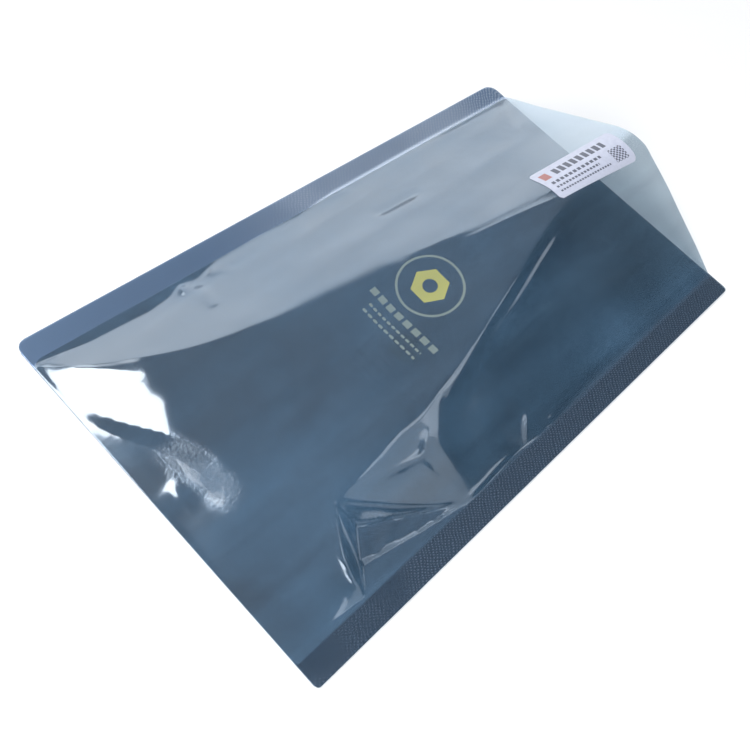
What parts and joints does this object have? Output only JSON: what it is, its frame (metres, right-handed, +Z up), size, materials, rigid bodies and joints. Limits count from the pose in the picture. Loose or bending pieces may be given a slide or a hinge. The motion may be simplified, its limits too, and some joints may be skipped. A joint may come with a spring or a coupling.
{
  "type": "anti static shielding bag",
  "caption": "Flat see-through metallised film bag with a folded end, heat-sealed sides and an open mouth, for holding parts that static could harm.",
  "frame": {"origin": "middle of the footprint, on the surface that the bag lies on", "axes": "+X from the fold to the mouth, +Y to the side seal on the left as seen from the fold looking at the mouth, +Z up"},
  "size_m": [0.229, 0.1517, 0.0336],
  "materials": {
    "film": "gloss",
    "label": "satin"
  },
  "bodies": {
    "root": {"bag_film": "film", "paper_label": "label"}
  },
  "joints": []
}
